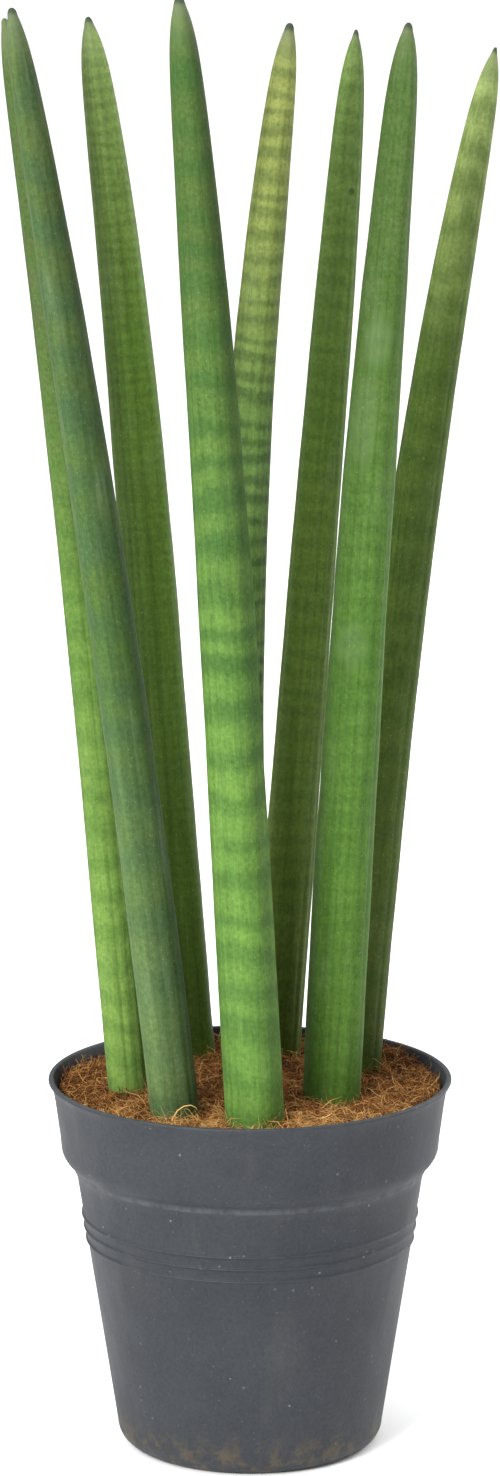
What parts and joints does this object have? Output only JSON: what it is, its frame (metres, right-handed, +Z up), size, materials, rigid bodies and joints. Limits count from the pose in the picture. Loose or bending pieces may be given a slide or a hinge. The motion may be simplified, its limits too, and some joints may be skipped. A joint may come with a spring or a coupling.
{
  "type": "potted cylindrical snake plant",
  "caption": "Cylindrical snake plant: tall round ribbed leaves fan out of coconut coir in a round slate-grey plastic nursery pot with a collar and drainage holes.",
  "frame": {"origin": "middle of the pot's underside, on the ground", "axes": "+Z up along the pot's axis; the plant is seen from the front when looking along +Y, with +X to the right"},
  "size_m": [0.1427, 0.1188, 0.429],
  "materials": {
    "pot_plastic": "matte slate-grey moulded plastic, slightly dusty",
    "coir": "coarse orange-brown coconut coir",
    "leaf_yellow_green": "waxy yellow-green leaf skin with dark cross bands",
    "leaf_blue_green": "waxy blue-green leaf skin with faint grooves",
    "leaf_dark_green": "waxy dark green leaf skin with dark bands",
    "leaf_bright_green": "waxy bright green leaf skin with grooves and bands"
  },
  "bodies": {
    "root": {"pot": "pot_plastic", "soil": "coir", "leaf_left_outer": "leaf_yellow_green", "leaf_left_front": "leaf_blue_green", "leaf_left_back": "leaf_dark_green", "leaf_centre_front": "leaf_bright_green", "leaf_centre": "leaf_yellow_green", "leaf_right_back": "leaf_dark_green", "leaf_right_front": "leaf_bright_green", "leaf_right_outer": "leaf_bright_green"}
  },
  "joints": []
}
